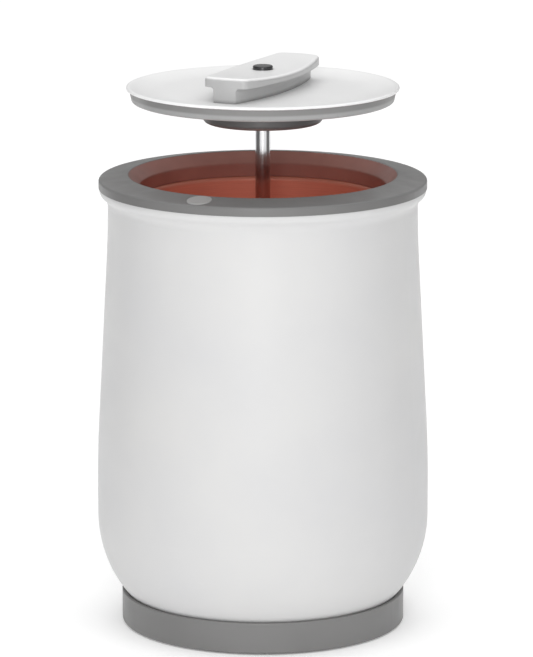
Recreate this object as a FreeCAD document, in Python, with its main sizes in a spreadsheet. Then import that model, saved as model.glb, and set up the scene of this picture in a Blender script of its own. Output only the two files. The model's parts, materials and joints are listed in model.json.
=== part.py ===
import FreeCAD, Part
import math
import os
import re
import Sketcher

# Round heated towel bucket: a white waisted shell on a grey base ring, with a grey rim collar, an aluminium
# pot with a wrap-round heater, a power button on the collar, and a lift-off lid with a bar handle and a rod.
# Millimetres. Origin: centre of the base, on the floor. +Z up, the front (the button's side) is -Y.
# The lid is drawn lifted clear of the rim, which is where it rests in this model.

V = FreeCAD.Vector
UP = V(0, 0, 1)

SIZES = {
    # base ring, its inner shelf and the posts that the bottom cover is screwed to
    "ring_gap": 1.2,
    "ring_radius": 137.6,
    "ring_top": 31.7,
    "ring_wall": 3.4,
    "ring_foot_round": 2.0,
    "ring_lip_round": 0.8,
    "shelf_top": 24.0,
    "shelf_thick": 2.5,
    "shelf_inner": 110.0,
    "post_circle": 126.0,
    "post_radius": 4.0,
    # bottom cover and feet
    "plate_low": 3.2,
    "plate_thick": 2.5,
    "plate_gap": 0.4,
    "foot_circle": 108.0,
    "foot_radius": 8.0,
    "foot_neck": 2.8,
    "foot_hole": 3.0,
    "vent_circle": 78.0,
    "vent_long": 30.0,
    "vent_wide": 3.0,
    # outer shell: round belly, long taper, straight neck and a flared lip
    "belly_radius": 160.7,
    "belly_low": 107.0,
    "belly_high": 140.0,
    "lower_round": 118.0,
    "shell_foot": 126.6,
    "taper_radius": 159.1,
    "taper_low": 200.0,
    "belly_round": 1140.0,
    "neck_low_radius": 150.1,
    "taper_high": 370.0,
    "neck_round": 660.0,
    "neck_radius": 149.2,
    "neck_low": 405.0,
    "neck_high": 411.0,
    "flare_out": 4.8,
    "flare_rise": 9.6,
    "flare_round": 12.0,
    "lip_round": 8.0,
    "lip_radius": 157.2,
    "lip_mid": 427.0,
    "shell_top": 428.8,
    "shell_wall": 3.0,
    "boss_circle": 119.5,
    "boss_radius": 5.0,
    "boss_high": 40.0,
    # pot and the shell's ledge that carries its flange
    "pot_radius": 117.0,
    "pot_wall": 1.5,
    "pot_floor": 84.0,
    "pot_corner": 16.0,
    "pot_top": 418.0,
    "pot_bend": 4.5,
    "flange_radius": 145.3,
    "ledge_inner": 138.5,
    "ledge_thick": 2.5,
    "wire_hole": 4.0,
    "wire_circle": 141.5,
    # rim collar
    "rim_radius": 158.0,
    "rim_wall": 2.8,
    "rim_round": 2.2,
    "rim_edge": 437.6,
    "ridge_radius": 129.5,
    "ridge_top": 441.7,
    "ridge_round": 1.4,
    "ridge_flat_radius": 130.6,
    "ridge_flat_top": 441.5,
    "collar_thick": 2.6,
    "funnel_radius": 118.4,
    "funnel_low": 430.4,
    "rim_boss_circle": 131.5,
    "rim_boss_radius": 3.6,
    "rim_boss_top": 439.2,
    # screws
    "screw_shank": 1.6,
    "screw_head": 3.2,
    "head_thick": 2.0,
    "screw_play": 0.15,
    # power button
    "button_circle": 143.5,
    "button_tilt": 9.0,
    "button_radius": 12.0,
    "button_gap": 0.3,
    "button_proud": 0.6,
    "button_crown": 0.5,
    "button_skirt": 3.0,
    "stem_radius": 3.0,
    "stem_end": 9.55,
    "case_radius": 9.6,
    "case_top": 8.5,
    "case_low": 16.0,
    "ear_spacing": 18.0,
    # heater and insulation
    "film_gap": 0.2,
    "film_thick": 1.2,
    "film_low": 130.0,
    "film_high": 330.0,
    "strap_wide": 8.0,
    "strap_thick": 0.8,
    "strap_step": 80.0,
    "jacket_inner": 122.0,
    "jacket_outer": 134.0,
    "jacket_low": 134.0,
    "jacket_high": 404.0,
    # lid, drawn lifted
    "lid_low": 512.6,
    "lid_top": 527.1,
    "lid_radius": 131.2,
    "lid_foot_radius": 126.0,
    "lid_neck_radius": 128.4,
    "lid_seat": 524.5,
    "lid_deck": 522.6,
    "deck_thick": 2.5,
    "deck_radius": 98.0,
    "deck_dish": 103.0,
    "pan_thick": 2.2,
    "pan_round": 2.4,
    "rebate_radius": 125.9,
    "lid_boss_circle": 95.0,
    # rod, its disc and its cap
    "disc_radius": 57.8,
    "disc_low": 492.0,
    "disc_wall": 2.5,
    "disc_round": 5.0,
    "rod_radius": 7.3,
    "rod_low": 190.0,
    "stud_radius": 5.0,
    "stud_play": 0.2,
    "cap_radius": 9.6,
    "cap_high": 4.6,
    "cap_play": 0.2,
    "cap_seat": 5.0,
    # handle
    "handle_half": 88.0,
    "handle_bulge": 3.0,
    "handle_end": 22.0,
    "handle_middle": 34.0,
    "web_end": 11.5,
    "web_middle": 23.5,
    "flange_thick": 10.5,
    "handle_top": 547.5,
    "handle_dip": 4.5,
    "handle_round": 3.4,
    "handle_corner": 8.0,
    "handle_screw": 55.0,
    # power inlet in the back of the base ring
    "inlet_face": 136.0,
    "inlet_flange": 2.0,
    "inlet_half": 16.0,
    "inlet_low": 5.0,
    "inlet_high": 28.6,
    "socket_half": 11.8,
    "socket_low": 8.6,
    "socket_high": 25.0,
    "socket_wall": 1.4,
    "inlet_back": 117.0,
    "socket_back": 120.0,
    "pin_offset": 7.0,
    "pin_wide": 2.0,
    "pin_tall": 4.0,
    "pin_back": 107.0,
    "pin_front": 134.0,
    "pin_line": 14.5,
    # circuit board
    "board_wide": 96.0,
    "board_deep": 72.0,
    "board_centre": 16.0,
    "board_low": 15.7,
    "board_thick": 1.6,
    "board_hole_x": 42.0,
    "board_hole_y": 30.0,
}

doc = FreeCAD.newDocument("towel_bucket")
sheet = doc.addObject("Spreadsheet::Sheet", "sizes")
for row, (alias, value) in enumerate(SIZES.items(), 1):
    sheet.set(f"A{row}", alias)
    sheet.set(f"B{row}", str(value))
    sheet.setAlias(f"B{row}", alias)
doc.recompute()

nodes = []


# ---- helpers: numbers from the sheet, sketches and features ------------------------------------------------

def number(text):
    """The value of an expression written in the sheet's aliases."""
    return float(sheet.evalExpression(text))


def bound(text):
    """The same expression as another object has to write it."""
    return re.sub(r"[a-z_]+", lambda word: "sizes." + word[0] if word[0] in SIZES else word[0], text)


def bind(thing, prop, text):
    thing.setExpression(prop, bound(text))


def new_body(name, turn=0.0, place=None):
    """An empty body, turned about the vertical axis or set in a frame of its own."""
    body = doc.addObject("PartDesign::Body", name)
    body.Label = name
    body.Placement = place or FreeCAD.Placement(V(0, 0, 0), FreeCAD.Rotation(UP, turn))
    nodes.append(body)
    return body


def origin_part(body, role):
    return next(item for item in body.Origin.OriginFeatures if item.Role == role)


def new_sketch(body, plane, x="0", y="0", lift="0"):
    """A sketch on one of the body's own planes, shifted in that plane and lifted off it."""
    sketch = body.newObject("Sketcher::SketchObject", body.Name + "_sketch")
    sketch.AttachmentSupport = [(origin_part(body, plane), "")]
    sketch.MapMode = "FlatFace"
    sketch.AttachmentOffset = FreeCAD.Placement(V(number(x), number(y), number(lift)), FreeCAD.Rotation())
    for axis, text in (("x", x), ("y", y), ("z", lift)):
        if text != "0":
            bind(sketch, "AttachmentOffset.Base." + axis, text)
    return sketch


def constrain(sketch, kind, where, text):
    index = sketch.addConstraint(Sketcher.Constraint(kind, *where, number(text)))
    bind(sketch, f"Constraints[{index}]", text)


def pin_point(sketch, item, end, x, y):
    """Hold one point of the sketch at x, y."""
    for kind, text, axis in (("DistanceX", x, -2), ("DistanceY", y, -1)):
        if number(text) == 0:
            sketch.addConstraint(Sketcher.Constraint("PointOnObject", item, end, axis))
        else:
            constrain(sketch, kind, (-1, 1, item, end), text)


def arc_between(start, end, turn, radius):
    """A short arc that leaves start and turns left or right to end."""
    chord = end - start
    side = 1 if turn == "left" else -1
    rise = math.sqrt(radius ** 2 - (chord.Length / 2) ** 2)
    centre = (start + end) * 0.5 + V(-chord.y, chord.x, 0) * (side * rise / chord.Length)
    angles = [math.atan2(spot.y - centre.y, spot.x - centre.x) for spot in (start, end)]
    return Part.ArcOfCircle(Part.Circle(centre, UP, radius), *angles[::side])


def outline(sketch, points):
    """Closed outline. A point is (x, y), or (x, y, turn, radius) where an arc arrives at it."""
    spots = [V(number(point[0]), number(point[1]), 0) for point in points]
    ends = []
    for index, point in enumerate(points):
        if len(point) == 2:
            item = sketch.addGeometry(Part.LineSegment(spots[index - 1], spots[index]))
            ends.append((item, 1, 2))
        else:
            item = sketch.addGeometry(arc_between(spots[index - 1], spots[index], point[2], number(point[3])))
            ends.append((item, 1, 2) if point[2] == "left" else (item, 2, 1))
            constrain(sketch, "Radius", (item,), point[3])
    for index, (item, first, last) in enumerate(ends):
        before = ends[index - 1]
        sketch.addConstraint(Sketcher.Constraint("Coincident", before[0], before[2], item, first))
        pin_point(sketch, item, last, points[index][0], points[index][1])


def circle(sketch, x, y, radius):
    item = sketch.addGeometry(Part.Circle(V(number(x), number(y), 0), UP, number(radius)))
    constrain(sketch, "Radius", (item,), radius)
    pin_point(sketch, item, 3, x, y)


def rectangle(sketch, left, low, right, high):
    outline(sketch, [(left, low), (right, low), (right, high), (left, high)])


def crown(radius, rise):
    """Radius of a dome of that rise over a circle of that radius, centred on the axis."""
    return f"(({radius}) ^ 2 + ({rise}) ^ 2) / (2 * ({rise}))"


def turned(body, points, x="0", y="0"):
    """A solid of revolution about a vertical axis at x, from an outline in radius and height."""
    sketch = new_sketch(body, "XZ_Plane", x, y)
    outline(sketch, points)
    solid = body.newObject("PartDesign::Revolution", body.Name + "_turned")
    solid.Profile = sketch
    solid.ReferenceAxis = (sketch, ["V_Axis"])
    solid.Angle = 360
    doc.recompute()
    return solid


def padded(body, sketch, length, back=False):
    solid = body.newObject("PartDesign::Pad", body.Name + "_pad")
    solid.Profile = sketch
    bind(solid, "Length", length)
    solid.Reversed = back
    doc.recompute()
    return solid


def pocketed(body, sketch, length, back=False):
    """Cut the sketch into the body; a cut that misses the solid stops the build."""
    before = body.Shape.Volume
    cut = body.newObject("PartDesign::Pocket", body.Name + "_pocket")
    cut.Profile = sketch
    bind(cut, "Length", length)
    cut.Reversed = back
    doc.recompute()
    if not body.Shape.Volume < before - 1e-3:
        raise RuntimeError("a pocket of " + body.Name + " cuts nothing")
    return cut


def repeated(body, features, count):
    """Copies of the features round the body's vertical axis."""
    pattern = body.newObject("PartDesign::PolarPattern", body.Name + "_round")
    pattern.Originals = features
    pattern.Axis = (origin_part(body, "Z_Axis"), [""])
    pattern.Angle = 360
    pattern.Occurrences = count
    body.Tip = pattern
    doc.recompute()
    return pattern


def drilled(body, radius, circle_radius, low, length, count):
    """A ring of upright round holes."""
    sketch = new_sketch(body, "XY_Plane", lift=low)
    circle(sketch, circle_radius, "0", radius)
    cut = pocketed(body, sketch, length, back=True)
    repeated(body, [cut], count)


def softened(body, radius, wanted):
    """Fillet the edges of the body that the test picks."""
    names = [f"Edge{index}" for index, edge in enumerate(body.Tip.Shape.Edges, 1) if wanted(edge)]
    before = body.Tip
    fillet = body.newObject("PartDesign::Fillet", body.Name + "_fillet")
    fillet.Base = (before, names)
    bind(fillet, "Radius", radius)
    doc.recompute()


def level(edge, height):
    """True for an edge that lies wholly at one height."""
    box = edge.BoundBox
    return abs(box.ZMin - height) < 1e-3 and abs(box.ZMax - height) < 1e-3


def upright(edge):
    return edge.BoundBox.DiagonalLength - edge.BoundBox.ZLength < 1e-3


def shaped(name, shape, place=None):
    """A node whose shape is made with Part's own functions."""
    thing = doc.addObject("Part::Feature", name)
    thing.Label = name
    thing.Shape = shape
    if place:
        thing.Placement = place
    nodes.append(thing)
    return thing


def screws(name, pitch, seat, length, count, turn=0.0):
    """Round-headed screws on a circle; the head sits against the seat and the shank goes up."""
    body = new_body(name, turn)
    solid = turned(body, [
        ("0", "0 - head_thick"), ("screw_head - 0.6", "0 - head_thick"),
        ("screw_head", "0.6 - head_thick", "left", "0.6"), ("screw_head", "0"),
        ("screw_shank", "0"), ("screw_shank", length + " - 1"), ("0.4", length), ("0", length),
    ], pitch, seat)
    repeated(body, [solid], count)


def tube(points, radius):
    """A wire along straight runs joined by tangent arcs."""
    spots = [V(*point) for point in points]
    edges = []
    here = spots[0]
    for before, corner, after in zip(spots, spots[1:], spots[2:]):
        arriving = (corner - before).normalize()
        leaving = (after - corner).normalize()
        setback = 0.45 * min((corner - before).Length, (after - corner).Length)
        half_turn = arriving.getAngle(leaving) / 2
        bend = setback / math.tan(half_turn)
        middle = corner + (leaving - arriving).normalize() * (bend / math.cos(half_turn) - bend)
        start = corner - arriving * setback
        end = corner + leaving * setback
        edges.append(Part.LineSegment(here, start).toShape())
        edges.append(Part.Arc(start, middle, end).toShape())
        here = end
    edges.append(Part.LineSegment(here, spots[-1]).toShape())
    path = Part.Wire(edges)
    ring = Part.Wire(Part.makeCircle(radius, spots[0], spots[1] - spots[0]))
    solid = path.makePipeShell([ring], True, False)
    wanted = math.pi * radius ** 2 * path.Length
    if abs(solid.Volume - wanted) > 0.02 * wanted:
        raise RuntimeError("a wire has the wrong volume")
    return solid


# ---- base: ring, bottom cover, feet ------------------------------------------------------------------------

def base_ring():
    body = new_body("base_ring")
    inner = "ring_radius - ring_wall"
    turned(body, [
        (inner, "ring_gap"), ("ring_radius - ring_foot_round", "ring_gap"),
        ("ring_radius", "ring_gap + ring_foot_round", "left", "ring_foot_round"),
        ("ring_radius", "ring_top - ring_lip_round"),
        ("ring_radius - ring_lip_round", "ring_top", "left", "ring_lip_round"),
        (inner, "ring_top"), (inner, "shelf_top"), ("shelf_inner", "shelf_top"),
        ("shelf_inner", "shelf_top - shelf_thick"), (inner, "shelf_top - shelf_thick"),
    ])
    sketch = new_sketch(body, "XY_Plane", lift="plate_low + plate_thick")
    circle(sketch, "post_circle", "0", "post_radius")
    post = padded(body, sketch, "shelf_top - shelf_thick - plate_low - plate_thick")
    repeated(body, [post], 6)
    drilled(body, "screw_shank + screw_play", "post_circle", "plate_low + plate_thick", "14", 6)
    sketch = new_sketch(body, "XY_Plane", lift="shelf_top - shelf_thick")
    for x, y in (("1", "1"), ("1", "-1"), ("-1", "1"), ("-1", "-1")):
        circle(sketch, f"{x} * boss_circle * sqrt(0.5)", f"{y} * boss_circle * sqrt(0.5)",
               "screw_shank + screw_play")
    pocketed(body, sketch, "shelf_thick", back=True)
    sketch = new_sketch(body, "XZ_Plane", lift="0 - inlet_face")
    rectangle(sketch, "0 - inlet_half - 0.4", "inlet_low - 0.4", "inlet_half + 0.4", "inlet_high + 0.4")
    pocketed(body, sketch, "10")
    sketch = new_sketch(body, "XZ_Plane", lift="0 - inlet_face")
    half = "socket_half + socket_wall + 0.3"
    rectangle(sketch, "0 - (" + half + ")", "socket_low - socket_wall - 0.3", half,
              "socket_high + socket_wall + 0.3")
    pocketed(body, sketch, "inlet_face - 105", back=True)


def base_plate():
    body = new_body("base_plate")
    sketch = new_sketch(body, "XY_Plane", lift="plate_low")
    circle(sketch, "0", "0", "ring_radius - ring_wall - plate_gap")
    padded(body, sketch, "plate_thick")
    drilled(body, "screw_shank + screw_play", "post_circle", "plate_low", "plate_thick", 6)
    sketch = new_sketch(body, "XY_Plane", lift="plate_low")
    for x, y in (("1", "1"), ("1", "-1"), ("-1", "1"), ("-1", "-1")):
        circle(sketch, f"{x} * foot_circle * sqrt(0.5)", f"{y} * foot_circle * sqrt(0.5)", "foot_hole")
    pocketed(body, sketch, "plate_thick", back=True)
    sketch = new_sketch(body, "XY_Plane", lift="plate_low")
    left = "vent_circle - vent_long / 2"
    right = "vent_circle + vent_long / 2"
    outline(sketch, [
        (left, "0 - vent_wide / 2", "left", "vent_wide * 0.51"), (right, "0 - vent_wide / 2"),
        (right, "vent_wide / 2", "left", "vent_wide * 0.51"), (left, "vent_wide / 2"),
    ])
    slot = pocketed(body, sketch, "plate_thick", back=True)
    repeated(body, [slot], 24)


def feet():
    body = new_body("rubber_feet", 45)
    foot = turned(body, [
        ("0", "0"), ("foot_radius - 1.2", "0"), ("foot_radius", "1.2", "left", "1.2"),
        ("foot_radius", "plate_low"), ("foot_neck", "plate_low"), ("foot_neck", "plate_low + plate_thick + 0.2"),
        ("foot_neck + 0.9", "plate_low + plate_thick + 0.7"), ("foot_neck - 0.8", "plate_low + plate_thick + 3"),
        ("0", "plate_low + plate_thick + 3"),
    ], "foot_circle")
    repeated(body, [foot], 4)


# ---- shell, pot and collar ---------------------------------------------------------------------------------

def outer_shell():
    body = new_body("outer_shell")
    turned(body, [
        ("shell_foot", "shelf_top"), ("belly_radius", "belly_low", "left", "lower_round"),
        ("belly_radius", "belly_high"), ("taper_radius", "taper_low", "left", "belly_round"),
        ("neck_low_radius", "taper_high"), ("neck_radius", "neck_low", "right", "neck_round"),
        ("neck_radius", "neck_high"),
        ("neck_radius + flare_out", "neck_high + flare_rise", "right", "flare_round"),
        ("lip_radius", "lip_mid", "left", "lip_round"), ("lip_radius", "shell_top"),
        ("lip_radius - shell_wall - 0.6", "shell_top"),
        ("neck_radius + flare_out - shell_wall", "neck_high + flare_rise + 1.5"),
        ("neck_radius - shell_wall + 1.3", "pot_top - pot_wall"), ("ledge_inner", "pot_top - pot_wall"),
        ("ledge_inner", "pot_top - pot_wall - ledge_thick"),
        ("neck_radius - shell_wall", "pot_top - pot_wall - ledge_thick"),
        ("neck_radius - shell_wall", "neck_low"),
        ("neck_low_radius - shell_wall", "taper_high", "left", "neck_round"),
        ("taper_radius - shell_wall", "taper_low"),
        ("belly_radius - shell_wall", "belly_high", "right", "belly_round"),
        ("belly_radius - shell_wall", "belly_low"),
        ("shell_foot - shell_wall - 1.3", "shelf_top", "right", "lower_round - shell_wall"),
    ])
    sketch = new_sketch(body, "XY_Plane", lift="shelf_top")
    corner = "boss_circle * sqrt(0.5)"
    for x, y in (("1", "1"), ("1", "-1"), ("-1", "1"), ("-1", "-1")):
        circle(sketch, f"{x} * {corner}", f"{y} * {corner}", "boss_radius")
    padded(body, sketch, "boss_high - shelf_top")
    sketch = new_sketch(body, "XY_Plane", lift="shelf_top")
    for x, y in (("1", "1"), ("1", "-1"), ("-1", "1"), ("-1", "-1")):
        circle(sketch, f"{x} * {corner}", f"{y} * {corner}", "screw_shank + screw_play")
    pocketed(body, sketch, "13", back=True)
    sketch = new_sketch(body, "XY_Plane", lift="pot_top - pot_wall - ledge_thick")
    circle(sketch, "0", "0 - wire_circle", "wire_hole")
    pocketed(body, sketch, "ledge_thick", back=True)
    sketch = new_sketch(body, "XZ_Plane", lift="0 - ring_radius")
    half = "socket_half + socket_wall + 0.8"
    rectangle(sketch, "0 - (" + half + ")", "shelf_top - 1", half, "socket_high + socket_wall + 0.8")
    pocketed(body, sketch, "24", back=True)


def inner_pot():
    body = new_body("inner_pot")
    outer = "pot_radius + pot_wall"
    turned(body, [
        ("0", "pot_floor - pot_wall"), ("pot_radius - pot_corner", "pot_floor - pot_wall"),
        (outer, "pot_floor + pot_corner", "left", "pot_corner + pot_wall"),
        (outer, "pot_top - pot_bend"), ("pot_radius + pot_bend", "pot_top - pot_wall", "right",
                                       "pot_bend - pot_wall"),
        ("flange_radius", "pot_top - pot_wall"), ("flange_radius", "pot_top"),
        ("pot_radius + pot_bend", "pot_top"), ("pot_radius", "pot_top - pot_bend", "left", "pot_bend"),
        ("pot_radius", "pot_floor + pot_corner"),
        ("pot_radius - pot_corner", "pot_floor", "right", "pot_corner"), ("0", "pot_floor"),
    ])
    drilled(body, "screw_shank + screw_play", "rim_boss_circle", "pot_top - pot_wall", "pot_wall", 6)
    sketch = new_sketch(body, "XY_Plane", lift="pot_top - pot_wall")
    circle(sketch, "0", "0 - wire_circle + 0.4", "wire_hole - 1")
    pocketed(body, sketch, "pot_wall", back=True)


BUTTON_LIFT = ("ridge_flat_top - (button_circle - ridge_flat_radius) * (ridge_flat_top - rim_edge)"
               " / (rim_radius - rim_round - ridge_flat_radius)")


def button_frame():
    """The button's own frame: on the collar's sloping top, with its Z square to it."""
    tilt = FreeCAD.Rotation(V(1, 0, 0), number("button_tilt"))
    return FreeCAD.Placement(V(0, -number("button_circle"), number(BUTTON_LIFT)), tilt)


def rim_collar():
    body = new_body("rim_collar")
    drop = "collar_thick * 1.012"
    slope = "(ridge_flat_top - rim_edge) / (rim_radius - rim_round - ridge_flat_radius)"
    band = "rim_radius - rim_wall"
    turned(body, [
        ("funnel_radius", "pot_top"), ("funnel_radius + collar_thick + 0.4", "pot_top"),
        ("funnel_radius + collar_thick + 0.4", "funnel_low - 1"),
        ("ridge_flat_radius", "ridge_flat_top - " + drop),
        (band, f"ridge_flat_top - {drop} - (rim_radius - rim_wall - ridge_flat_radius) * {slope}"),
        (band, "shell_top"), ("rim_radius", "shell_top"), ("rim_radius", "rim_edge - rim_round"),
        ("rim_radius - rim_round", "rim_edge", "left", "rim_round + 0.2"),
        ("ridge_flat_radius", "ridge_flat_top"),
        ("ridge_radius - 0.5", "ridge_top - 0.9", "left", "ridge_round"),
        ("funnel_radius + 0.8", "funnel_low + 0.8"), ("funnel_radius", "funnel_low - 1", "left", "3"),
    ])
    sketch = new_sketch(body, "XY_Plane", lift="pot_top")
    circle(sketch, "rim_boss_circle", "0", "rim_boss_radius")
    boss = padded(body, sketch, "rim_boss_top - pot_top")
    repeated(body, [boss], 6)
    drilled(body, "screw_shank + screw_play", "rim_boss_circle", "pot_top", "15", 6)
    ears = new_sketch(body, "XY_Plane")
    ears.AttachmentOffset = button_frame() * FreeCAD.Placement(V(0, 0, -number("case_top")), FreeCAD.Rotation())
    for side in ("ear_spacing", "0 - ear_spacing"):
        circle(ears, side, "0", "screw_head")
    padded(body, ears, "case_top - 2")
    pilots = new_sketch(body, "XY_Plane")
    pilots.AttachmentOffset = ears.AttachmentOffset
    for side in ("ear_spacing", "0 - ear_spacing"):
        circle(pilots, side, "0", "screw_shank - 0.4")
    pocketed(body, pilots, "5", back=True)
    hole = new_sketch(body, "XY_Plane")
    hole.AttachmentOffset = button_frame() * FreeCAD.Placement(V(0, 0, 3), FreeCAD.Rotation())
    circle(hole, "0", "0", "button_radius + button_gap")
    pocketed(body, hole, "3 + button_skirt + 1.7")


# ---- power button ------------------------------------------------------------------------------------------

def power_button():
    body = new_body("power_button", place=button_frame())
    turned(body, [
        ("0", "0 - stem_end"), ("stem_radius - 0.4", "0 - stem_end"),
        ("stem_radius", "0.4 - stem_end"), ("stem_radius", "-1.4"),
        ("button_radius - 1.4", "-1.4"), ("button_radius - 1.4", "0 - button_skirt"),
        ("button_radius", "0 - button_skirt"), ("button_radius", "button_proud - 0.7"),
        ("button_radius - 0.7", "button_proud", "left", "0.7"),
        ("0", "button_proud + button_crown", "left", crown("button_radius - 0.7", "button_crown")),
    ])
    sketch = new_sketch(body, "XY_Plane", lift="0 - button_skirt")
    rectangle(sketch, "0 - button_radius - 1.6", "-2.5", "1.4 - button_radius", "2.5")
    rectangle(sketch, "button_radius - 1.4", "-2.5", "button_radius + 1.6", "2.5")
    padded(body, sketch, "1", back=True)


def button_case():
    body = new_body("button_case", place=button_frame())
    turned(body, [
        ("stem_radius + 0.3", "0 - case_top - 1.4"), ("case_radius - 1.4", "0 - case_top - 1.4"),
        ("case_radius - 1.4", "0 - case_low"), ("case_radius", "0 - case_low"),
        ("case_radius", "0 - case_top"), ("stem_radius + 0.3", "0 - case_top"),
    ])
    sketch = new_sketch(body, "XY_Plane", lift="0 - case_top")
    rectangle(sketch, "0 - ear_spacing - screw_head", "-3", "0 - case_radius + 1", "3")
    rectangle(sketch, "case_radius - 1", "-3", "ear_spacing + screw_head", "3")
    padded(body, sketch, "1.6", back=True)
    sketch = new_sketch(body, "XY_Plane", lift="0 - case_top")
    for side in ("ear_spacing", "0 - ear_spacing"):
        circle(sketch, side, "0", "screw_shank - 0.35")
    pocketed(body, sketch, "1.6")


def button_screws():
    body = new_body("button_screws", place=button_frame())
    seat = "0 - case_top - 1.6"
    screw = turned(body, [
        ("0", "-1.4"), ("2.1", "-1.4"), ("2.5", "-1", "left", "0.4"), ("2.5", "0"),
        ("screw_shank - 0.5", "0"), ("screw_shank - 0.5", "5.5"), ("0.3", "6.2"), ("0", "6.2"),
    ], "ear_spacing", seat)
    repeated(body, [screw], 2)


def button_board():
    body = new_body("button_board", place=button_frame())
    sketch = new_sketch(body, "XY_Plane", lift="0 - case_low")
    circle(sketch, "0", "0", "case_radius - 1.6")
    padded(body, sketch, "1.2")


def button_switch():
    body = new_body("button_switch", place=button_frame())
    sketch = new_sketch(body, "XY_Plane", lift="1.2 - case_low")
    rectangle(sketch, "-3", "-3", "3", "3")
    padded(body, sketch, "3.4")
    sketch = new_sketch(body, "XY_Plane", lift="4.6 - case_low")
    circle(sketch, "0", "0", "1.7")
    padded(body, sketch, "1")


def button_spring():
    low = -number("case_top") + 0.05
    high = -1.45
    wire = 0.3
    coil = number("stem_radius") + 1.1
    helix = Part.makeHelix((high - low - 2 * wire) / 4, high - low - 2 * wire, coil)
    ring = Part.Wire(Part.makeCircle(wire, V(coil, 0, 0), V(0, 1, 0)))
    spring = Part.Wire(helix).makePipeShell([ring], True, True)
    shaped("button_spring", spring, button_frame() * FreeCAD.Placement(V(0, 0, low + wire), FreeCAD.Rotation()))


# ---- heater, insulation and sensors ------------------------------------------------------------------------

def heater_film():
    body = new_body("heater_film")
    inner = "pot_radius + pot_wall + film_gap"
    turned(body, [(inner, "film_low"), (inner + " + film_thick", "film_low"),
                  (inner + " + film_thick", "film_high"), (inner, "film_high")])
    sketch = new_sketch(body, "XY_Plane", lift="film_low")
    rectangle(sketch, "-4", "pot_radius - 3", "4", "pot_radius + 8")
    pocketed(body, sketch, "film_high - film_low", back=True)


def heater_straps():
    body = new_body("heater_straps")
    inner = "pot_radius + pot_wall + 2 * film_gap + film_thick"
    low = "film_low + 16"
    strap = turned(body, [(inner, low), (inner + " + strap_thick", low),
                          (inner + " + strap_thick", low + " + strap_wide"), (inner, low + " + strap_wide")])
    pattern = body.newObject("PartDesign::LinearPattern", "heater_straps_row")
    pattern.Originals = [strap]
    pattern.Direction = (origin_part(body, "Z_Axis"), [""])
    bind(pattern, "Length", "2 * strap_step")
    pattern.Occurrences = 3
    body.Tip = pattern
    doc.recompute()


def insulation_jacket():
    body = new_body("insulation_jacket")
    turned(body, [("jacket_inner", "jacket_low"), ("jacket_outer", "jacket_low"),
                  ("jacket_outer", "jacket_high"), ("jacket_inner", "jacket_high")])


SENSOR_X = -34


def sensor_place(x):
    return FreeCAD.Placement(V(x, 0, number("pot_floor - pot_wall")), FreeCAD.Rotation())


def thermostat():
    body = new_body("thermostat", place=sensor_place(SENSOR_X))
    turned(body, [("0", "-9"), ("7.4", "-9"), ("8", "-8.4", "left", "0.6"), ("8", "-1.2"), ("9", "-1.2"),
                  ("9", "0"), ("0", "0")])
    sketch = new_sketch(body, "XY_Plane", lift="-9")
    rectangle(sketch, "-5", "-3.1", "-4.2", "3.1")
    rectangle(sketch, "4.2", "-3.1", "5", "3.1")
    padded(body, sketch, "7", back=True)


def sensor_bracket():
    """Steel strap that holds the thermostat and the fuse up against the pot's floor."""
    body = new_body("sensor_bracket", place=sensor_place(SENSOR_X))
    sketch = new_sketch(body, "XY_Plane", lift="-2.4")
    rectangle(sketch, "-20", "-10.5", "20", "10.5")
    padded(body, sketch, "1.2")
    sketch = new_sketch(body, "XY_Plane", lift="-2.4")
    circle(sketch, "0", "0", "8.2")
    pocketed(body, sketch, "1.2", back=True)
    sketch = new_sketch(body, "XY_Plane", lift="-2.4")
    circle(sketch, "-15", "0", "screw_shank + screw_play")
    circle(sketch, "15", "0", "screw_shank + screw_play")
    pocketed(body, sketch, "1.2", back=True)
    sketch = new_sketch(body, "XY_Plane", lift="-1.2")
    rectangle(sketch, "-20", "-10.5", "-11", "10.5")
    rectangle(sketch, "11", "-10.5", "20", "10.5")
    padded(body, sketch, "1.2")
    sketch = new_sketch(body, "XY_Plane", lift="-1.2")
    circle(sketch, "-15", "0", "screw_shank + screw_play")
    circle(sketch, "15", "0", "screw_shank + screw_play")
    pocketed(body, sketch, "1.2", back=True)


def bracket_nuts():
    """Nuts on the two studs welded under the pot, with the studs' ends."""
    body = new_body("bracket_nuts", place=sensor_place(SENSOR_X))
    nut = turned(body, [("0", "-6"), ("screw_shank", "-6"), ("screw_shank", "-4.8"), ("3.2", "-4.8"),
                        ("3.2", "-2.4"), ("screw_shank", "-2.4"), ("screw_shank", "0"), ("0", "0")], "15")
    repeated(body, [nut], 2)


def thermal_fuse():
    body = new_body("thermal_fuse", place=sensor_place(-SENSOR_X))
    sketch = new_sketch(body, "YZ_Plane", y="-2.2", lift="-7")
    circle(sketch, "0", "0", "2.1")
    padded(body, sketch, "14")


def fuse_clip():
    body = new_body("fuse_clip", place=sensor_place(-SENSOR_X))
    sketch = new_sketch(body, "YZ_Plane", lift="-4")
    outline(sketch, [("-9", "-1"), ("-3.3", "-1"), ("-2.4", "-5"), ("2.4", "-5"), ("3.3", "-1"), ("9", "-1"),
                     ("9", "0"), ("2.5", "0"), ("2", "-4.4"), ("-2", "-4.4"), ("-2.5", "0"), ("-9", "0")])
    padded(body, sketch, "8")


# ---- power inlet, circuit board and wiring -----------------------------------------------------------------

PIN_SPOTS = (("0 - pin_offset", "pin_line"), ("pin_offset", "pin_line"), ("0", "(pin_line + 4)"))


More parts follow.
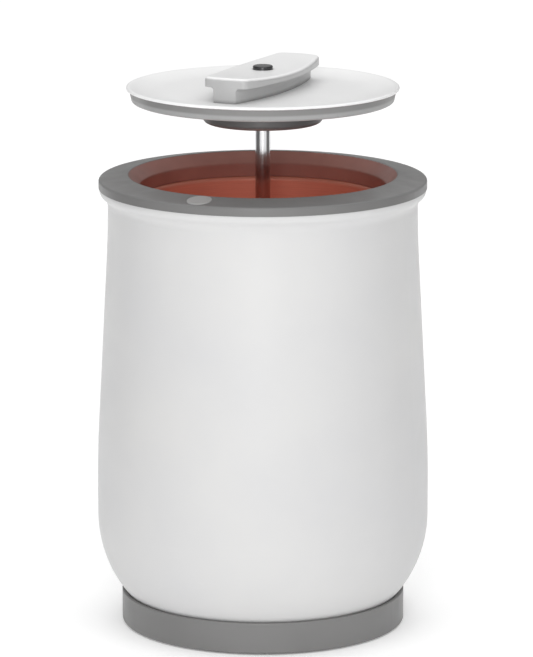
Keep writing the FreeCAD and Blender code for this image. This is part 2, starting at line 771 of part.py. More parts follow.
def power_inlet():
    body = new_body("power_inlet")
    sketch = new_sketch(body, "XZ_Plane", lift="0 - inlet_face - inlet_flange")
    rectangle(sketch, "0 - inlet_half", "inlet_low", "inlet_half", "inlet_high")
    padded(body, sketch, "inlet_flange")
    sketch = new_sketch(body, "XZ_Plane", lift="0 - inlet_face")
    half = "socket_half + socket_wall"
    rectangle(sketch, "0 - (" + half + ")", "socket_low - socket_wall", half, "socket_high + socket_wall")
    padded(body, sketch, "inlet_face - inlet_back")
    sketch = new_sketch(body, "XZ_Plane", lift="0 - inlet_face - inlet_flange")
    bevel = "3.6"
    outline(sketch, [
        ("0 - socket_half", "socket_low"), ("socket_half", "socket_low"),
        ("socket_half", "socket_high - " + bevel), ("socket_half - " + bevel, "socket_high"),
        (bevel + " - socket_half", "socket_high"), ("0 - socket_half", "socket_high - " + bevel),
    ])
    pocketed(body, sketch, "inlet_face + inlet_flange - socket_back", back=True)
    sketch = new_sketch(body, "XZ_Plane", lift="0 - socket_back")
    for x, z in PIN_SPOTS:
        rectangle(sketch, f"{x} - pin_wide / 2 - 0.05", f"{z} - pin_tall / 2 - 0.05",
                  f"{x} + pin_wide / 2 + 0.05", f"{z} + pin_tall / 2 + 0.05")
    pocketed(body, sketch, "socket_back - inlet_back", back=True)


def inlet_pins():
    body = new_body("inlet_pins")
    sketch = new_sketch(body, "XZ_Plane", lift="0 - pin_front")
    for x, z in PIN_SPOTS:
        rectangle(sketch, f"{x} - pin_wide / 2", f"{z} - pin_tall / 2", f"{x} + pin_wide / 2",
                  f"{z} + pin_tall / 2")
    padded(body, sketch, "pin_front - pin_back")


BOARD_HOLES = [(f"{x} * board_hole_x", f"board_centre + {y} * board_hole_y")
               for x in ("-1", "1") for y in ("-1", "1")]


def control_board():
    body = new_body("control_board")
    sketch = new_sketch(body, "XY_Plane", lift="board_low")
    rectangle(sketch, "0 - board_wide / 2", "board_centre - board_deep / 2", "board_wide / 2",
              "board_centre + board_deep / 2")
    padded(body, sketch, "board_thick")
    sketch = new_sketch(body, "XY_Plane", lift="board_low")
    for x, y in BOARD_HOLES:
        circle(sketch, x, y, "screw_shank + screw_play")
    pocketed(body, sketch, "board_thick", back=True)


def board_posts():
    body = new_body("board_posts")
    sketch = new_sketch(body, "XY_Plane", lift="plate_low + plate_thick")
    for x, y in BOARD_HOLES:
        circle(sketch, x, y, "screw_head")
    padded(body, sketch, "board_low - plate_low - plate_thick")
    sketch = new_sketch(body, "XY_Plane", lift="board_low")
    for x, y in BOARD_HOLES:
        circle(sketch, x, y, "screw_shank + 0.1")
    pocketed(body, sketch, "8")


def board_screws():
    body = new_body("board_screws")
    sketch = new_sketch(body, "XY_Plane", lift="board_low + board_thick")
    for x, y in BOARD_HOLES:
        circle(sketch, x, y, "screw_head - 0.3")
    padded(body, sketch, "1.8")
    sketch = new_sketch(body, "XY_Plane", lift="board_low + board_thick")
    for x, y in BOARD_HOLES:
        circle(sketch, x, y, "screw_shank")
    padded(body, sketch, "8", back=True)


def block_on_board(name, x, y, wide, deep, tall, soft):
    """A moulded part standing on the board, with its upright edges rounded."""
    deck = number("board_low + board_thick")
    body = new_body(name, place=FreeCAD.Placement(V(x, y, deck), FreeCAD.Rotation()))
    sketch = new_sketch(body, "XY_Plane")
    rectangle(sketch, str(-wide / 2), str(-deep / 2), str(wide / 2), str(deep / 2))
    padded(body, sketch, str(tall))
    softened(body, str(soft), upright)
    return body


def transformer():
    body = block_on_board("transformer", 22, 20, 32, 27, 6, 1)
    for lift, wide, deep, tall in (("6", "14", "10.5", "12"), ("18", "16", "13.5", "4")):
        sketch = new_sketch(body, "XY_Plane", lift=lift)
        rectangle(sketch, "0 - " + wide, "0 - " + deep, wide, deep)
        padded(body, sketch, tall)


def capacitor():
    deck = number("board_low + board_thick")
    body = new_body("capacitor", place=FreeCAD.Placement(V(-4, 2, deck), FreeCAD.Rotation()))
    turned(body, [("0", "0"), ("5", "0"), ("5", "1.5"), ("4.6", "2.2"), ("5", "2.9"), ("5", "17.4"),
                  ("4.4", "18", "left", "0.6"), ("0", "18")])


def terminal_block():
    body = block_on_board("terminal_block", -6, 44, 44, 11, 12, 0.8)
    sketch = new_sketch(body, "XZ_Plane", lift="-5.5")
    for slot in range(5):
        circle(sketch, str(-16 + 8 * slot), "6.5", "2.2")
    pocketed(body, sketch, "6", back=True)


def pipes(name, routes, radius):
    shaped(name, Part.makeCompound([tube(route, radius) for route in routes]))


def wiring():
    mains_left = [(-7, 106.5, 14.5), (-8, 96, 15), (-13, 80, 18), (-20, 62, 22.5), (-22, 49.6, 23.8)]
    mains_right = [(7, 106.5, 14.5), (6, 96, 15), (2, 80, 18), (-4, 62, 22.5), (-6, 49.6, 23.8)]
    mains_earth = [(0, 106.5, 18.5), (-1, 96, 19.5), (-6, 80, 22), (-12, 62, 24.5), (-14, 49.6, 23.8)]
    pipes("mains_leads", [mains_left, mains_right, mains_earth], 1.4)
    heater_left = [(2, 49.6, 23.8), (2.5, 62, 27), (-2, 84, 44), (-7, 108, 74), (-9, 122.4, 102), (-9, 119.06, 117),
                   (-9, 119.06, 129.9)]
    heater_right = [(10, 49.6, 23.8), (10.5, 62, 27), (10, 84, 44), (9.5, 108, 74), (9, 122.4, 102),
                    (9.1, 119.06, 117), (9, 119.06, 129.9)]
    pipes("heater_leads", [heater_left, heater_right], 0.7)
    sensor_left = [(-30, 30, 18.2), (-31, 29, 30), (-33, 20, 46), (-37, 8, 58), (-38.6, 0, 65.5)]
    sensor_right = [(-34, 34, 18.2), (-27, 33, 30), (-25, 22, 46), (-28, 8, 58), (-29.4, 0, 65.5)]
    pipes("sensor_leads", [sensor_left, sensor_right], 0.8)
    button_route = [(0, -14, 24.5), (1, -30, 26), (3, -60, 31), (3, -92, 44), (1.5, -120, 68), (0, -137, 100),
                    (0, -141.3, 140), (-0.6, -141.6, 190), (0.6, -141.2, 240), (-0.6, -141.6, 290),
                    (0.4, -141.2, 340), (0, -141.3, 380), (0, -141.1, 412), (0, -141.6, 422.6)]
    pipes("button_lead", [button_route], 1.5)


# ---- lid ---------------------------------------------------------------------------------------------------

def lid_cover():
    body = new_body("lid_top")
    turned(body, [
        ("stud_radius + stud_play", "lid_deck - deck_thick"),
        ("rebate_radius - 0.1", "lid_deck - deck_thick"), ("rebate_radius - 0.1", "lid_seat"),
        ("lid_radius - 0.7", "lid_seat"), ("lid_radius", "lid_seat + 0.7", "left", "0.7"),
        ("lid_radius - 1.7", "lid_top", "left", "2.2"), ("lid_radius - 4.2", "lid_top - 0.3", "left", "5"),
        ("deck_radius", "lid_deck", "right", "deck_dish"), ("stud_radius + stud_play", "lid_deck"),
    ])
    sketch = new_sketch(body, "XY_Plane", lift="lid_low + pan_thick")
    circle(sketch, "lid_boss_circle", "0", "post_radius")
    boss = padded(body, sketch, "lid_deck - deck_thick / 2 - lid_low - pan_thick")
    repeated(body, [boss], 4)
    drilled(body, "screw_shank + screw_play", "lid_boss_circle", "lid_low + pan_thick", "6.3", 4)
    sketch = new_sketch(body, "XY_Plane", lift="lid_deck - deck_thick")
    for y in ("handle_screw", "0 - handle_screw"):
        circle(sketch, "0", y, "screw_shank + screw_play")
    pocketed(body, sketch, "deck_thick", back=True)


def lid_pan():
    body = new_body("lid_pan")
    turned(body, [
        ("stud_radius + stud_play", "lid_low"), ("lid_foot_radius - pan_round", "lid_low"),
        ("lid_foot_radius + 0.2", "lid_low + pan_round", "left", "pan_round + 0.1"),
        ("lid_neck_radius", "lid_seat"), ("rebate_radius", "lid_seat"),
        ("rebate_radius", "lid_low + pan_thick + 4"),
        ("rebate_radius - 2.5", "lid_low + pan_thick", "right", "5"),
        ("stud_radius + stud_play", "lid_low + pan_thick"),
    ])
    drilled(body, "screw_shank + screw_play", "lid_boss_circle", "lid_low", "pan_thick", 4)


def lid_disc():
    body = new_body("lid_disc")
    turned(body, [
        ("stud_radius + stud_play", "disc_low"), ("disc_radius - disc_round", "disc_low"),
        ("disc_radius", "disc_low + disc_round", "left", "disc_round"), ("disc_radius", "lid_low"),
        ("disc_radius - disc_wall", "lid_low"),
        ("disc_radius - disc_wall", "disc_low + disc_round"),
        ("disc_radius - disc_round", "disc_low + disc_wall", "right", "disc_round - disc_wall"),
        ("stud_radius + stud_play", "disc_low + disc_wall"),
    ])


def lid_rod():
    body = new_body("lid_rod")
    turned(body, [
        ("0", "rod_low"), ("rod_radius - 2", "rod_low"), ("rod_radius", "rod_low + 2", "left", "2"),
        ("rod_radius", "disc_low"), ("stud_radius", "disc_low"),
        ("stud_radius", "handle_top - cap_seat + 2.4"), ("0", "handle_top - cap_seat + 2.4"),
    ])


def rod_nut():
    body = new_body("rod_nut")
    sketch = new_sketch(body, "XY_Plane", lift="lid_low + pan_thick")
    corner = 9.2
    outline(sketch, [(str(round(corner * math.cos(math.radians(60 * step)), 4)),
                      str(round(corner * math.sin(math.radians(60 * step)), 4))) for step in range(6)])
    padded(body, sketch, "5")
    sketch = new_sketch(body, "XY_Plane", lift="lid_low + pan_thick")
    circle(sketch, "0", "0", "stud_radius + stud_play")
    pocketed(body, sketch, "5", back=True)


def rod_cap():
    """Blind cap on the rod's stud, sunk a little into the middle of the handle."""
    body = new_body("rod_cap")
    bore = "stud_radius + stud_play"
    low = "handle_top - cap_seat"
    turned(body, [
        (bore, low), ("cap_radius", low), ("cap_radius", low + " + cap_high - 1.6"),
        ("cap_radius - 1.4", low + " + cap_high - 0.4", "left", "1.5"),
        ("0", low + " + cap_high", "left", crown("cap_radius - 1.4", "0.4")),
        ("0", low + " + 2.5"), (bore, low + " + 2.5"),
    ])


def bowed(sketch, end, middle):
    """Handle outline: two bowed long sides between two slightly rounded ends on one common circle."""
    round_end = "(handle_end ^ 2 + handle_bulge ^ 2) / (2 * handle_bulge)"
    corner = f"handle_half - {round_end} + sqrt(({round_end}) ^ 2 - {end} ^ 2)"
    bow = f"(({corner}) ^ 2 + ({middle} - {end}) ^ 2) / (2 * ({middle} - {end}))"
    outline(sketch, [
        (end, "0 - (" + corner + ")", "left", round_end), (end, corner, "left", bow),
        ("0 - " + end, corner, "left", round_end), ("0 - " + end, "0 - (" + corner + ")", "left", bow),
    ])


def handle():
    body = new_body("handle")
    underside = "handle_top - flange_thick"
    sketch = new_sketch(body, "XY_Plane", lift=underside)
    bowed(sketch, "handle_end", "handle_middle")
    padded(body, sketch, "flange_thick")
    softened(body, "handle_corner", upright)
    sketch = new_sketch(body, "YZ_Plane", lift="0 - handle_middle - 2")
    reach = "(handle_half + 6)"
    outline(sketch, [
        ("0 - " + reach, "handle_top"), (reach, "handle_top", "left", crown(reach, "handle_dip")),
        (reach, "handle_top + 3"), ("0 - " + reach, "handle_top + 3"),
    ])
    pocketed(body, sketch, "2 * handle_middle + 4", back=True)
    low = number("handle_top - handle_dip")
    softened(body, "handle_round", lambda edge: edge.BoundBox.ZMin > low - 0.5)
    sketch = new_sketch(body, "XY_Plane", lift="lid_deck")
    bowed(sketch, "web_end", "web_middle")
    padded(body, sketch, underside + " - lid_deck")
    low = number(underside)
    half = number("web_middle")
    softened(body, "3", lambda edge: level(edge, low) and edge.Length > 100
             and abs(edge.BoundBox.XMin) < half + 0.1 and abs(edge.BoundBox.XMax) < half + 0.1)
    sketch = new_sketch(body, "XY_Plane", lift="lid_deck")
    circle(sketch, "0", "0", "stud_radius + stud_play")
    pocketed(body, sketch, "handle_top - lid_deck", back=True)
    sketch = new_sketch(body, "XY_Plane", lift="handle_top")
    circle(sketch, "0", "0", "cap_radius + cap_play")
    pocketed(body, sketch, "cap_seat")
    sketch = new_sketch(body, "XY_Plane", lift="lid_deck")
    for y in ("handle_screw", "0 - handle_screw"):
        circle(sketch, "0", y, "screw_shank + screw_play")
    pocketed(body, sketch, "13", back=True)


# ---- the whole object --------------------------------------------------------------------------------------

base_ring()
base_plate()
feet()
screws("base_screws", "post_circle", "plate_low", "15", 6)
outer_shell()
screws("shell_screws", "boss_circle", "shelf_top - shelf_thick", "14", 4, turn=45)
inner_pot()
rim_collar()
screws("collar_screws", "rim_boss_circle", "pot_top - pot_wall", "15", 6)
power_button()
button_case()
button_screws()
button_board()
button_switch()
button_spring()
heater_film()
heater_straps()
insulation_jacket()
thermostat()
sensor_bracket()
bracket_nuts()
thermal_fuse()
fuse_clip()
power_inlet()
inlet_pins()
control_board()
board_posts()
board_screws()
transformer()
block_on_board("relay", -26, 18, 19, 15.5, 15.5, 0.6)
capacitor()
terminal_block()
block_on_board("board_socket", 0, -10, 9, 6, 7, 0.4)
wiring()
lid_cover()
lid_pan()
screws("lid_screws", "lid_boss_circle", "lid_low", "8", 4)
lid_disc()
lid_rod()
rod_nut()
handle()
screws("handle_screws", "handle_screw", "lid_deck - deck_thick", "14", 2, turn=90)
rod_cap()
doc.recompute()

for thing in doc.Objects:
    if "Invalid" in thing.State or "Error" in thing.State:
        raise RuntimeError(thing.Name + " has failed")
for node in nodes:
    if node.Shape.isNull() or not node.Shape.isValid():
        raise RuntimeError(node.Label + " has no valid shape")

os.makedirs("parts", exist_ok=True)
for node in nodes:
    node.Shape.exportStep(f"parts/{node.Label}.step")
print(len(nodes), "nodes,", sum(len(node.Shape.Solids) for node in nodes), "solids")
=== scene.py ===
import json
import math

import bpy
from mathutils import Matrix, Vector


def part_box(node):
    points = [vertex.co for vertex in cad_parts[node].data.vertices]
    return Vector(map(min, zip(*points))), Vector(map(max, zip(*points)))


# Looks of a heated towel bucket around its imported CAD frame. Metres; +Z up, the front is -Y.

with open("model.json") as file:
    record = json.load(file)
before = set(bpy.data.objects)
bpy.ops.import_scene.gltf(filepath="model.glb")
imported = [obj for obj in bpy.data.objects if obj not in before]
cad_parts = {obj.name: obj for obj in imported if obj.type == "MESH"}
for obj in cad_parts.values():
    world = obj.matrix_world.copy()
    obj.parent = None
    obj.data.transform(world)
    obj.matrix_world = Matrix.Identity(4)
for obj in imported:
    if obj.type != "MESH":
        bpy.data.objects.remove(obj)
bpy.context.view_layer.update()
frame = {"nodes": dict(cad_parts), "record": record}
nodes = frame["nodes"]


# ---- node helpers ------------------------------------------------------------------------------------------

class Looks:
    """A material with one Principled shader and short calls for the nodes that feed it."""

    def __init__(self, name, roughness=0.5, metallic=0.0, specular=0.5, coat=0.0, coat_roughness=0.1):
        self.material = bpy.data.materials.new(name)
        self.material.use_nodes = True
        self.tree = self.material.node_tree
        self.tree.nodes.clear()
        self.shader = self.add("ShaderNodeBsdfPrincipled")
        self.shader.inputs["Roughness"].default_value = roughness
        self.shader.inputs["Metallic"].default_value = metallic
        self.shader.inputs["Specular IOR Level"].default_value = specular
        self.shader.inputs["Coat Weight"].default_value = coat
        self.shader.inputs["Coat Roughness"].default_value = coat_roughness
        output = self.add("ShaderNodeOutputMaterial")
        self.link(self.shader.outputs["BSDF"], output.inputs["Surface"])
        self.where = self.add("ShaderNodeTexCoord").outputs["Object"]

    def add(self, kind, **settings):
        node = self.tree.nodes.new(kind)
        for key, value in settings.items():
            setattr(node, key, value)
        return node

    def link(self, source, target):
        self.tree.links.new(source, target)

    def put(self, target, value):
        if isinstance(value, bpy.types.NodeSocket):
            self.link(value, target)
        else:
            target.default_value = value

    def math(self, operation, first, second=0.0, third=0.0):
        node = self.add("ShaderNodeMath", operation=operation)
        for target, value in zip(node.inputs, (first, second, third)):
            self.put(target, value)
        return node.outputs[0]

    def stretched(self, scale):
        node = self.add("ShaderNodeMapping")
        self.link(self.where, node.inputs["Vector"])
        node.inputs["Scale"].default_value = scale
        return node.outputs["Vector"]

    def noise(self, scale, detail=2.0, stretch=None):
        node = self.add("ShaderNodeTexNoise")
        self.link(self.stretched(stretch) if stretch else self.where, node.inputs["Vector"])
        node.inputs["Scale"].default_value = scale
        node.inputs["Detail"].default_value = detail
        return node.outputs["Fac"]

    def ramp(self, value, low, high, start=0.0, end=1.0):
        node = self.add("ShaderNodeMapRange")
        self.put(node.inputs["Value"], value)
        for name, number in (("From Min", low), ("From Max", high), ("To Min", start), ("To Max", end)):
            node.inputs[name].default_value = number
        return node.outputs["Result"]

    def mix(self, share, first, second):
        node = self.add("ShaderNodeMix", data_type="RGBA")
        self.put(node.inputs["Factor"], share)
        for target, value in ((node.inputs[6], first), (node.inputs[7], second)):
            self.put(target, value if isinstance(value, bpy.types.NodeSocket) else (*value, 1.0))
        return node.outputs[2]

    def axes(self):
        node = self.add("ShaderNodeSeparateXYZ")
        self.link(self.where, node.inputs[0])
        return node.outputs

    def radius(self):
        """Distance from the object's upright axis."""
        x, y, _ = self.axes()
        return self.math("SQRT", self.math("ADD", self.math("MULTIPLY", x, x), self.math("MULTIPLY", y, y)))

    def edges(self, width):
        """1 within about the width of an edge, 0 on open surface."""
        soft = self.add("ShaderNodeBevel", samples=4)
        soft.inputs["Radius"].default_value = width
        plain = self.add("ShaderNodeNewGeometry")
        dot = self.add("ShaderNodeVectorMath", operation="DOT_PRODUCT")
        self.link(soft.outputs["Normal"], dot.inputs[0])
        self.link(plain.outputs["Normal"], dot.inputs[1])
        return self.ramp(dot.outputs["Value"], 0.995, 0.85)

    def upward(self):
        """1 on faces that look up, 0 on upright faces."""
        parts = self.add("ShaderNodeSeparateXYZ")
        self.link(self.add("ShaderNodeNewGeometry").outputs["Normal"], parts.inputs[0])
        return self.ramp(parts.outputs["Z"], 0.3, 0.8)

    def corner_shade(self, reach):
        """1 deep in a corner, 0 in the open; a mask for painted shade in corners."""
        node = self.add("ShaderNodeAmbientOcclusion", samples=8)
        node.inputs["Distance"].default_value = reach
        return self.ramp(node.outputs["AO"], 0.85, 0.25)

    def base(self):
        """The colour the shader has so far."""
        return self.shader.inputs["Base Color"].links[0].from_socket

    def colour(self, value):
        self.put(self.shader.inputs["Base Color"], value)

    def rough(self, value):
        self.link(value, self.shader.inputs["Roughness"])

    def bump(self, height, strength, distance):
        node = self.add("ShaderNodeBump")
        self.link(height, node.inputs["Height"])
        node.inputs["Strength"].default_value = strength
        node.inputs["Distance"].default_value = distance
        self.link(node.outputs["Normal"], self.shader.inputs["Normal"])


# ---- materials ---------------------------------------------------------------------------------------------

RIDGE_RADIUS = 0.1292   # the collar's grey ends and the funnel with its painted red glow begins
PAINTED_LIGHT_SHARE = 0.45       # of the lid rim's height, from its lowest edge up, that is painted paler as painted light
CLOTH_PITCH = 2600.0    # radians per metre
TRACK_PITCH = 1500.0    # radians per metre


def moulded(name, dark, light, worn, low=0.3, high=0.4, grain=900.0, strength=0.08, coat=0.0, specular=0.5):
    """Moulded plastic: cloudy colour, fine grain, uneven gloss and edges rubbed a little lighter."""
    look = Looks(name, specular=specular, coat=coat, coat_roughness=0.15)
    cloud = look.ramp(look.noise(9.0, 3.0), 0.35, 0.65)
    look.colour(look.mix(look.math("MULTIPLY", look.edges(0.0007), 0.5), look.mix(cloud, dark, light), worn))
    look.rough(look.ramp(look.noise(38.0, 4.0), 0.3, 0.7, low, high))
    look.bump(look.noise(grain, 3.0), strength, 0.0002)
    return look


def white_shell():
    return moulded("white_shell", (0.612, 0.612, 0.616), (0.637, 0.635, 0.632), (0.76, 0.76, 0.76),
                   0.34, 0.44, 700.0, 0.05, coat=0.04, specular=0.3).material


def white_lid(name):
    """The lid's and handle's plastic, which is a shade whiter and glossier than the shell's."""
    return moulded(name, (0.88, 0.88, 0.88), (0.91, 0.91, 0.908), (0.93, 0.93, 0.93), 0.30, 0.38,
                   240.0, 0.02, coat=0.12)


def white_handle():
    """The lid's plastic with painted shade: darker grey upright faces and a painted shadow in the corners
    under the flange.
    """
    look = white_lid("white_handle")
    # Painted shade: the upright faces are a darker grey than the lit top.
    sides = look.mix(look.ramp(look.noise(20.0, 3.0), 0.35, 0.65), (0.47, 0.47, 0.47), (0.51, 0.51, 0.51))
    painted_side_shade = look.mix(look.upward(), sides, look.base())
    # Painted shadow: near-black in the corners under the flange.
    look.colour(look.mix(look.corner_shade(0.006), painted_side_shade, (0.05, 0.05, 0.05)))
    return look.material


def grey_plastic(name, tone):
    """The trim plastic; the tone is its darker shade."""
    dark = (tone, tone * 0.99, tone * 0.98)
    light = (tone * 1.11, tone * 1.1, tone * 1.09)
    worn = (tone * 1.6, tone * 1.6, tone * 1.6)
    return moulded(name, dark, light, worn, 0.34, 0.46, 1300.0, 0.12, specular=0.35)


def pan_plastic():
    """Trim plastic on the lid's rim, with painted light: paler along its lowest edge."""
    look = grey_plastic("pan_plastic", 0.215)
    low, high = (corner[2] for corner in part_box("lid_pan"))
    step = low + PAINTED_LIGHT_SHARE * (high - low)
    z = look.axes()[2]
    # Painted light: the lower band of the rim is painted paler, as the light falling on it from below would
    # make it.
    look.colour(look.mix(look.ramp(z, step + 0.001, step - 0.001), look.base(), (0.34, 0.34, 0.34)))
    return look.material


def collar_plastic():
    """The grey plastic, with a painted red glow down the funnel inside the ridge, standing in for the warm
    light from the pot.
    """
    look = grey_plastic("collar_plastic", 0.168)
    inside = look.ramp(look.radius(), RIDGE_RADIUS + 0.0004, RIDGE_RADIUS - 0.0004)
    streak = look.ramp(look.noise(30.0, 3.0), 0.3, 0.7)
    red = look.mix(streak, (0.290, 0.125, 0.100), (0.340, 0.150, 0.120))
    # Painted light: the red-brown of the heated pot's glow is painted onto the grey plastic of the funnel.
    look.colour(look.mix(inside, look.base(), red))
    return look.material


def button_plastic():
    return moulded("button_plastic", (0.350, 0.348, 0.345), (0.375, 0.372, 0.368), (0.45, 0.45, 0.45),
                   0.28, 0.36, 1500.0, 0.05).material


def dark_plastic():
    return moulded("dark_plastic", (0.045, 0.045, 0.046), (0.060, 0.060, 0.060), (0.12, 0.12, 0.12),
                   0.38, 0.5, 1100.0, 0.15).material


def white_parts():
    return moulded("white_parts", (0.58, 0.57, 0.53), (0.64, 0.63, 0.59), (0.7, 0.7, 0.66)).material


def pot_metal():
    """Red-brown anodised aluminium, drawn round, with turning marks on the wall."""
    look = Looks("pot_metal", metallic=0.2, specular=0.4)
    lines = look.noise(60.0, 4.0, (0.4, 0.4, 26.0))
    tone = look.ramp(look.noise(7.0, 3.0), 0.3, 0.7)
    base = look.mix(tone, (0.64, 0.235, 0.160), (0.71, 0.270, 0.190))
    look.colour(look.mix(look.ramp(lines, 0.45, 0.75, 0.0, 0.35), base, (0.46, 0.17, 0.125)))
    look.rough(look.ramp(lines, 0.3, 0.7, 0.34, 0.5))
    look.bump(lines, 0.12, 0.0003)
    return look.material


def plated(name, dark, light, low, high, stretch=(1.0, 1.0, 1.0), scale=90.0, strength=0.03):
    """Metal with fine drawn lines, faint stains and brighter edges."""
    look = Looks(name, metallic=1.0)
    lines = look.noise(scale, 3.0, stretch)
    stain = look.ramp(look.noise(22.0, 4.0), 0.35, 0.7)
    look.colour(look.mix(look.math("MULTIPLY", look.edges(0.0004), 0.4), look.mix(stain, dark, light), light))
    look.rough(look.ramp(lines, 0.3, 0.7, low, high))
    look.bump(lines, strength, 0.0001)
    return look.material


def rubber():
    return moulded("rubber", (0.018, 0.018, 0.019), (0.030, 0.030, 0.030), (0.06, 0.06, 0.06), 0.65, 0.8,
                   800.0, 0.3).material


def silicone_sheet(name, dark, light):
    """Rubber sheet with the print of a woven cloth."""
    look = Looks(name, roughness=0.6)
    x, y, z = look.axes()
    across = look.math("SINE", look.math("MULTIPLY", look.math("ADD", x, y), CLOTH_PITCH))
    along = look.math("SINE", look.math("MULTIPLY", z, CLOTH_PITCH))
    weave = look.math("MULTIPLY", across, along)
    look.colour(look.mix(look.ramp(look.noise(14.0, 3.0), 0.3, 0.7), dark, light))
    look.rough(look.ramp(look.noise(60.0), 0.3, 0.7, 0.5, 0.68))
    look.bump(weave, 0.25, 0.0002)
    return look.material


def felt():
    look = Looks("felt", roughness=0.95, specular=0.1)
    look.shader.inputs["Sheen Weight"].default_value = 0.3
    fibres = look.noise(420.0, 6.0)
    look.colour(look.mix(look.ramp(fibres, 0.3, 0.7), (0.50, 0.47, 0.41), (0.66, 0.63, 0.56)))
    look.rough(look.ramp(fibres, 0.3, 0.7, 0.85, 1.0))
    look.bump(fibres, 0.6, 0.001)
    return look.material


def board():
    """Green solder mask over faint copper tracks."""
    look = Looks("board", roughness=0.35, coat=0.3)
    x = look.axes()[0]
    tracks = look.math("GREATER_THAN", look.math("SINE", look.math("MULTIPLY", x, TRACK_PITCH)), 0.55)
    patches = look.math("GREATER_THAN", look.noise(70.0, 1.0), 0.5)
    share = look.math("MULTIPLY", look.math("MULTIPLY", tracks, patches), 0.5)
    look.colour(look.mix(share, (0.012, 0.085, 0.030), (0.045, 0.20, 0.075)))
    look.rough(look.ramp(look.noise(120.0), 0.3, 0.7, 0.28, 0.42))
    look.bump(share, 0.3, 0.00005)
    return look.material


MATERIALS = {
    "white_shell": white_shell(),
    "grey_plastic": grey_plastic("grey_plastic", 0.182).material,
    "button_plastic": button_plastic(),
    "dark_plastic": dark_plastic(),
    "disc_plastic": moulded("disc_plastic", (0.100, 0.100, 0.100), (0.120, 0.119, 0.118), (0.2, 0.2, 0.2),
                            0.34, 0.46, 1100.0, 0.1).material,
    "pot_metal": pot_metal(),
    "chrome": plated("chrome", (0.60, 0.60, 0.61), (0.72, 0.72, 0.73), 0.07, 0.16, (1.0, 1.0, 0.05), 260.0),
    "rod_cap": plated("rod_cap", (0.05, 0.05, 0.052), (0.085, 0.085, 0.088), 0.2, 0.32),
    "steel": plated("steel", (0.40, 0.40, 0.39), (0.54, 0.54, 0.53), 0.28, 0.45),
    "brass": plated("brass", (0.50, 0.36, 0.13), (0.66, 0.49, 0.20), 0.2, 0.34),
    "rubber": rubber(),
    "heater": silicone_sheet("heater", (0.30, 0.070, 0.030), (0.38, 0.095, 0.042)),
    "felt": felt(),
    "board": board(),
    "white_parts": white_parts(),
    "wire": silicone_sheet("wire", (0.30, 0.022, 0.018), (0.38, 0.032, 0.025)),
}


def dress(piece, material, bend=35.0):
    """One material, and smooth shading that breaks at real edges."""
    piece.data.materials.clear()
    piece.data.materials.append(material)
    for face in piece.data.polygons:
        face.use_smooth = True
    piece.data.set_sharp_from_angle(angle=math.radians(bend))


for subpart in frame["record"]["subparts"]:
    dress(nodes[subpart["node"]], MATERIALS[subpart["material_slot"]])
dress(nodes["rim_collar"], collar_plastic())
dress(nodes["lid_pan"], pan_plastic())
dress(nodes["lid_top"], white_lid("white_lid").material)
dress(nodes["handle"], white_handle())


# ---- studio ------------------------------------------------------------------------------------------------

CAMERA_TURN = math.radians(24.4)
CAMERA_AWAY = 4.3414
CAMERA_HIGH = 1.2230
CAMERA_ASIDE = 0.0035
CAMERA_DOWN = math.radians(12.14)
LENS = 251.3
SENSOR = 36.0
SIGHT = 100.0           # how far the camera sees
FLOOR_HALF = 30.0
FLOOR_LIFT = 0.18       # the floor's own light, which keeps the ground white
WALL_AWAY = 22.0
WALL_HIGH = 14.0
WALL_SIDES = 64
FLAG_FOOT = 0.02        # the cards' lower edge


def aimed(piece, place, target):
    piece.location = place
    piece.rotation_mode = "QUATERNION"
    piece.rotation_quaternion = (Vector(target) - Vector(place)).to_track_quat("-Z", "Y")


def around(turn, away, high):
    """A place at an azimuth counted as the camera's is, from the front."""
    return Vector((math.sin(turn) * away, -math.cos(turn) * away, high))


def camera():
    data = bpy.data.cameras.new("camera")
    data.lens = LENS
    data.sensor_width = SENSOR
    data.clip_end = SIGHT
    piece = bpy.data.objects.new("camera", data)
    bpy.context.scene.collection.objects.link(piece)
    right = Vector((math.cos(CAMERA_TURN), math.sin(CAMERA_TURN), 0.0))
    place = around(CAMERA_TURN, CAMERA_AWAY, CAMERA_HIGH) + right * CAMERA_ASIDE
    ahead = Vector((-math.sin(CAMERA_TURN), math.cos(CAMERA_TURN), 0.0)) * math.cos(CAMERA_DOWN)
    aimed(piece, place, place + ahead - Vector((0.0, 0.0, math.sin(CAMERA_DOWN))))
    bpy.context.scene.camera = piece


def area_light(name, turn, away, high, wide, tall, watts, colour=(1.0, 1.0, 1.0), target=(0.0, 0.0, 0.27)):
    data = bpy.data.lights.new(name, "AREA")
    data.shape = "RECTANGLE"
    data.size = wide
    data.size_y = tall
    data.energy = watts
    data.color = colour
    piece = bpy.data.objects.new(name, data)
    bpy.context.scene.collection.objects.link(piece)
    aimed(piece, around(CAMERA_TURN + math.radians(turn), away, high), target)


def floor():
    """A plain pale floor, wide enough to reach past the wall."""
    mesh = bpy.data.meshes.new("floor")
    half = FLOOR_HALF
    corners = [(-half, -half, 0), (half, -half, 0), (half, half, 0), (-half, half, 0)]
    mesh.from_pydata(corners, [], [(0, 1, 2, 3)])
    piece = bpy.data.objects.new("floor", mesh)
    bpy.context.scene.collection.objects.link(piece)
    look = Looks("floor", roughness=0.9, specular=0.1)
    look.colour(look.mix(look.noise(2.0, 3.0), (0.93, 0.93, 0.93), (0.95, 0.95, 0.95)))
    look.shader.inputs["Emission Color"].default_value = (1.0, 1.0, 1.0, 1.0)
    look.shader.inputs["Emission Strength"].default_value = FLOOR_LIFT
    mesh.materials.append(look.material)


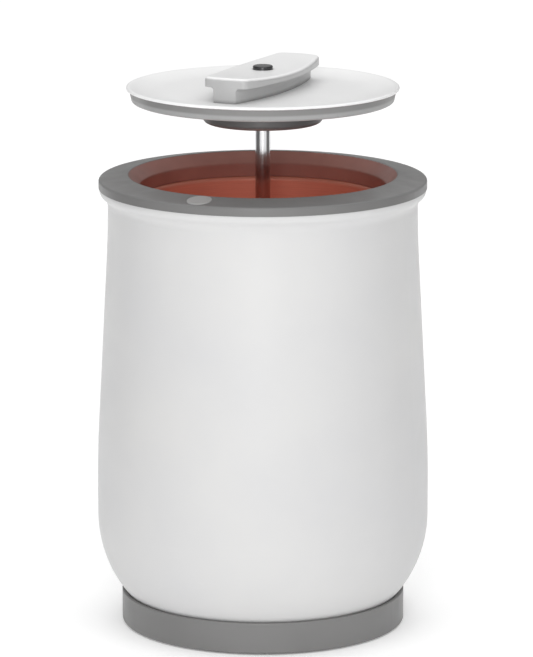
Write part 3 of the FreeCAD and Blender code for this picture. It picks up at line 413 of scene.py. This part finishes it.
def backdrop():
    """A round white studio wall, seen behind the floor from low down; it sheds no light on the object."""
    mesh = bpy.data.meshes.new("backdrop")
    sides = range(WALL_SIDES)
    foot = [around(2 * math.pi * side / WALL_SIDES, WALL_AWAY, 0.0) for side in sides]
    head = [place + Vector((0.0, 0.0, WALL_HIGH)) for place in foot]
    following = [(side + 1) % WALL_SIDES for side in sides]
    panels = [(side, after, after + WALL_SIDES, side + WALL_SIDES) for side, after in zip(sides, following)]
    mesh.from_pydata(foot + head, [], panels)
    piece = bpy.data.objects.new("backdrop", mesh)
    bpy.context.scene.collection.objects.link(piece)
    look = Looks("backdrop", roughness=0.9, specular=0.0)
    look.colour((0.0, 0.0, 0.0, 1.0))
    look.shader.inputs["Emission Color"].default_value = (1.0, 1.0, 1.0, 1.0)
    look.shader.inputs["Emission Strength"].default_value = 1.0
    mesh.materials.append(look.material)
    piece.visible_diffuse = False
    piece.visible_glossy = False
    piece.visible_shadow = False


def flag(name, turn, away, wide, high):
    """A grey card beside the set that only reflections see, as a studio hangs beside bright metal."""
    mesh = bpy.data.meshes.new(name)
    half = wide / 2
    corners = [(-half, 0, FLAG_FOOT), (half, 0, FLAG_FOOT), (half, 0, high), (-half, 0, high)]
    mesh.from_pydata(corners, [], [(0, 1, 2, 3)])
    piece = bpy.data.objects.new(name, mesh)
    bpy.context.scene.collection.objects.link(piece)
    angle = CAMERA_TURN + math.radians(turn)
    piece.matrix_world = Matrix.Translation(around(angle, away, 0.0)) @ Matrix.Rotation(angle, 4, "Z")
    look = Looks(name, roughness=0.9)
    look.colour(look.mix(look.noise(3.0), (0.20, 0.20, 0.20), (0.26, 0.26, 0.26)))
    mesh.materials.append(look.material)
    piece.visible_camera = False
    piece.visible_diffuse = False
    piece.visible_shadow = False


def sky(overhead, horizon, aside):
    """Soft studio light: brightest overhead, dim near the horizon and dimmest to the camera's two sides."""
    world = bpy.data.worlds.new("sky")
    world.use_nodes = True
    tree = world.node_tree
    where = tree.nodes.new("ShaderNodeTexCoord").outputs["Generated"]
    parts = tree.nodes.new("ShaderNodeSeparateXYZ")
    tree.links.new(where, parts.inputs[0])
    sideways = tree.nodes.new("ShaderNodeVectorMath")
    sideways.operation = "DOT_PRODUCT"
    tree.links.new(where, sideways.inputs[0])
    sideways.inputs[1].default_value = (math.cos(CAMERA_TURN), math.sin(CAMERA_TURN), 0.0)
    spread = tree.nodes.new("ShaderNodeMath")
    spread.operation = "ABSOLUTE"
    tree.links.new(sideways.outputs["Value"], spread.inputs[0])
    height = tree.nodes.new("ShaderNodeMapRange")
    tree.links.new(parts.outputs["Z"], height.inputs["Value"])
    height.inputs["To Min"].default_value = horizon
    height.inputs["To Max"].default_value = overhead
    flank = tree.nodes.new("ShaderNodeMapRange")
    flank.interpolation_type = "SMOOTHSTEP"
    tree.links.new(spread.outputs[0], flank.inputs["Value"])
    flank.inputs["From Min"].default_value = 0.5
    flank.inputs["To Min"].default_value = 1.0
    flank.inputs["To Max"].default_value = aside
    level = tree.nodes.new("ShaderNodeMath")
    level.operation = "MULTIPLY"
    tree.links.new(height.outputs["Result"], level.inputs[0])
    tree.links.new(flank.outputs["Result"], level.inputs[1])
    tree.links.new(level.outputs[0], tree.nodes["Background"].inputs["Strength"])
    tree.nodes["Background"].inputs["Color"].default_value = (1.0, 1.0, 1.0, 1.0)
    bpy.context.scene.world = world


camera()
floor()
backdrop()
sky(1.42, 0.24, 0.14)
area_light("key", -3, 2.8, 0.95, 0.6, 1.5, 26, target=(0.0, 0.0, 0.15))
flag("left_flag", -84, 0.75, 1.1, 1.1)
flag("right_flag", 84, 0.95, 1.0, 1.1)
area_light("glow", 0, 0.0, 0.11, 0.14, 0.14, 0.14, (1.0, 0.50, 0.36), (0.0, 0.0, 1.0))
bpy.context.scene.view_settings.view_transform = "Standard"
bpy.context.scene.view_settings.look = "None"
